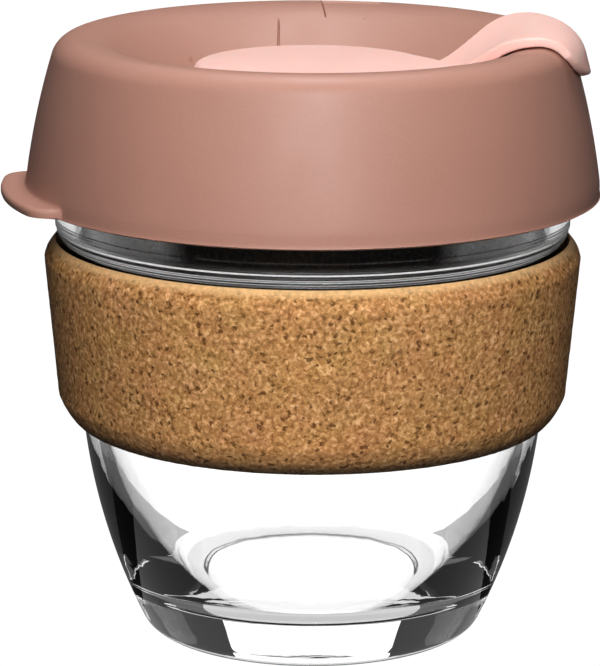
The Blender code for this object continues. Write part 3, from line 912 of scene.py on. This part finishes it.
def surroundings():
    """What the glass shows: a white table and white screens, grey beside them, dark elsewhere.

    The brightness depends on the place in the studio and on how the ray got there: straight
    through the glass, through one wall only, after an inner reflection, or off the outer face.
    Rays that left a matte surface get no light from it.
    """
    mat = bpy.data.materials.new("surroundings")
    mat.use_nodes = True
    tree = mat.node_tree
    tree.nodes.clear()
    place = tree.nodes.new("ShaderNodeSeparateXYZ")
    tree.links.new(tree.nodes.new("ShaderNodeNewGeometry").outputs["Position"], place.inputs[0])
    x, y, z = place.outputs
    side = math_node(tree, "ABSOLUTE", x)
    depth = math_node(tree, "ABSOLUTE", y)
    spread = math_node(tree, "DIVIDE", math_node(tree, "MINIMUM", side, depth),
                       math_node(tree, "MAXIMUM", side, depth))
    window = math_node(tree, "LESS_THAN", spread, math.tan(math.radians(SCREEN_HALF_ANGLE)))
    reach = math_node(tree, "SQRT", math_node(tree, "ADD", math_node(tree, "MULTIPLY", x, x),
                                              math_node(tree, "MULTIPLY", y, y)))
    near = math_node(tree, "LESS_THAN", reach, NEAR_R)
    low = math_node(tree, "LESS_THAN", z, 0.001)
    fan = math_node(tree, "ADD", math_node(tree, "MULTIPLY", depth, 1.2), 0.002)
    path = tree.nodes.new("ShaderNodeLightPath")
    straight = math_node(tree, "LESS_THAN", path.outputs["Glossy Depth"], 0.5)
    solid = math_node(tree, "LESS_THAN", path.outputs["Transmission Depth"], 2.5)
    mirrored = math_node(tree, "LESS_THAN", path.outputs["Transmission Depth"], 0.5)
    direct = math_node(tree, "LESS_THAN", path.outputs["Diffuse Depth"], 0.5)
    inside = math_node(tree, "MULTIPLY", math_node(tree, "LESS_THAN", reach, BASE_R),
                       math_node(tree, "SUBTRACT", 1.0, solid))
    ahead = math_node(tree, "LESS_THAN", side, fan)
    behind = math_node(tree, "GREATER_THAN", y, 0.0)
    slant = math_node(tree, "MULTIPLY", 0.25, math_node(tree, "DIVIDE", side,
                                                        math_node(tree, "ADD", depth, 0.001)))
    rear = math_node(tree, "MULTIPLY", behind, ramp(tree, slant, (0.22, 1.0), (0.45, 0.06)))
    aside = math_node(tree, "MULTIPLY", solid, ramp(tree, slant, (0.36, 0.06), (0.6, 1.6)))
    brim = math_node(tree, "MAXIMUM", rear, aside)
    close = math_node(tree, "MAXIMUM", ahead, inside)
    # Painted shadow: under the front of the cup the table glows 0.6 instead of white.
    under = math_node(tree, "MULTIPLY", math_node(tree, "LESS_THAN", reach, UNDER_R),
                      math_node(tree, "LESS_THAN", y, UNDER_Y))

    def choose(test, yes, no):
        made = tree.nodes.new("ShaderNodeMix")
        for socket, value in ((made.inputs[0], test), (made.inputs[2], no), (made.inputs[3], yes)):
            if isinstance(value, (int, float)):
                socket.default_value = value
            else:
                tree.links.new(value, socket)
        return made.outputs[0]

    table = choose(close, choose(under, 0.6, SCREEN_WHITE), 0.60)
    far_light = choose(window, SCREEN_WHITE, choose(low, 0.62, choose(solid, 0.035, 1.1)))
    light = choose(near, table, far_light)
    turned = choose(low, choose(near, choose(ahead, 0.7, 0.13), brim), choose(window, 0.9, 0.06))
    front = math_node(tree, "MULTIPLY", math_node(tree, "MULTIPLY", low, near),
                      math_node(tree, "SUBTRACT", 1.0, behind))
    edges = math_node(tree, "MULTIPLY", behind, math_node(tree, "SUBTRACT", 1.0, window))
    sheen = choose(front, 0.38, choose(edges, 0.1, 0.02))
    seen = choose(mirrored, sheen, choose(straight, light, turned))
    glow = tree.nodes.new("ShaderNodeEmission")
    tree.links.new(math_node(tree, "MULTIPLY", seen, direct), glow.inputs["Strength"])
    out = tree.nodes.new("ShaderNodeOutputMaterial")
    tree.links.new(glow.outputs[0], out.inputs["Surface"])
    return mat


def make_studio():
    world = bpy.data.worlds.new("studio")
    world.use_nodes = True
    world.node_tree.nodes["Background"].inputs["Color"].default_value = (1, 1, 1, 1)
    world.node_tree.nodes["Background"].inputs["Strength"].default_value = 0.02
    bpy.context.scene.world = world

    white = emission("backdrop_white", (1, 1, 1), 1.05)
    seen_by(disc("floor", 6.0, -0.0006, white), camera=True)
    seen_by(wall("backdrop", 5.0, -3.0, 6.0, white), camera=True)

    around = surroundings()
    seen_by(disc("table", STUDIO_R, TABLE_Z, around), glossy=True, transmission=True)
    seen_by(wall("screens", STUDIO_R, TABLE_Z, STUDIO_TOP, around), glossy=True, transmission=True)
    seen_by(disc("ceiling", STUDIO_R, STUDIO_TOP, around), transmission=True)

    area_light("key", (0.004, -0.30, 0.215), (0.14, 0.14), 1.1, 0.07)
    area_light("top", (0.0, 0.12, 0.66), (0.26, 0.26), 2.6, 0.07)
    # Low and behind, for matte surfaces only, so that the cup's back is lit as well.
    seen_by(area_light("rear", (0.05, 0.38, 0.075), (0.30, 0.12), 1.1, 0.05), diffuse=True)


def area_light(name, place, size, power, height):
    """Rectangular light aimed at a height on the cup's axis."""
    light = bpy.data.lights.new(name, "AREA")
    light.shape = "RECTANGLE"
    light.size, light.size_y = size
    light.energy = power
    obj = bpy.data.objects.new(name, light)
    obj.location = place
    aim = Vector((0.0, 0.0, height)) - Vector(place)
    obj.rotation_euler = aim.to_track_quat("-Z", "Y").to_euler()
    bpy.context.scene.collection.objects.link(obj)
    return obj


def make_camera():
    """A long lens a little above the cup, looking along +Y."""
    tilt = math.radians(13.32)
    distance = 0.587
    aim = Vector((-1.88 * MM, 0.0, 46.2 * MM))
    data = bpy.data.cameras.new("camera")
    data.sensor_fit = "HORIZONTAL"
    data.sensor_width = 36.0
    data.lens = 228.2
    camera = bpy.data.objects.new("camera", data)
    camera.location = aim + distance * Vector((0.0, -math.cos(tilt), math.sin(tilt)))
    camera.rotation_euler = (math.pi / 2 - tilt, 0.0, 0.0)
    camera.rotation_euler.rotate_axis("Z", math.radians(0.17))
    bpy.context.scene.collection.objects.link(camera)
    bpy.context.scene.camera = camera
    bpy.context.scene.view_settings.view_transform = "Standard"


make_glass()
make_band()
make_lid()
make_plug()
make_studio()
make_camera()
